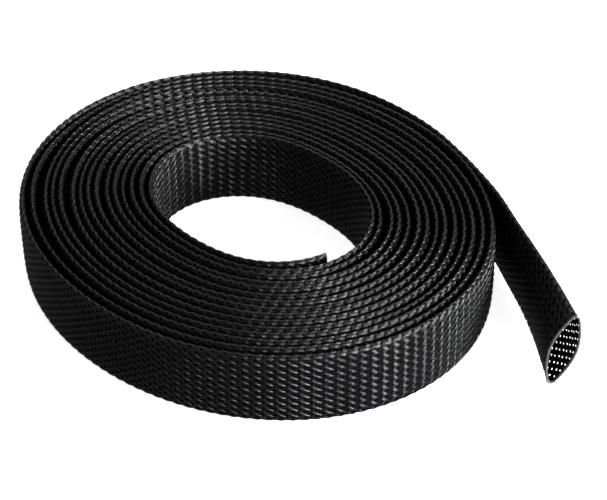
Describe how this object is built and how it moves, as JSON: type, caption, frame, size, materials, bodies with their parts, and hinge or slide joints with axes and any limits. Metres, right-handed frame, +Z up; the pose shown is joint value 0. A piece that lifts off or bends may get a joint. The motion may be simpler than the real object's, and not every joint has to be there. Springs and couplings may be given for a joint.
{
  "type": "braided cable sleeve roll",
  "caption": "Flattened black braided sleeve wound edge-up into a flat spiral roll, with a free tail that ends in an open oval mouth for bundling cables.",
  "frame": {"origin": "middle of the bounding box's base, on the floor that the roll lies on", "axes": "+Z up along the roll's axis; +Y away from the camera of the picture; +X to its right, and the tail runs towards -Y on the +X side"},
  "size_m": [0.1666, 0.1464, 0.025],
  "materials": {
    "sleeve": "black plastic monofilament, braided, with a soft sheen"
  },
  "bodies": {
    "root": {"braided_sleeve": "sleeve"}
  },
  "joints": []
}
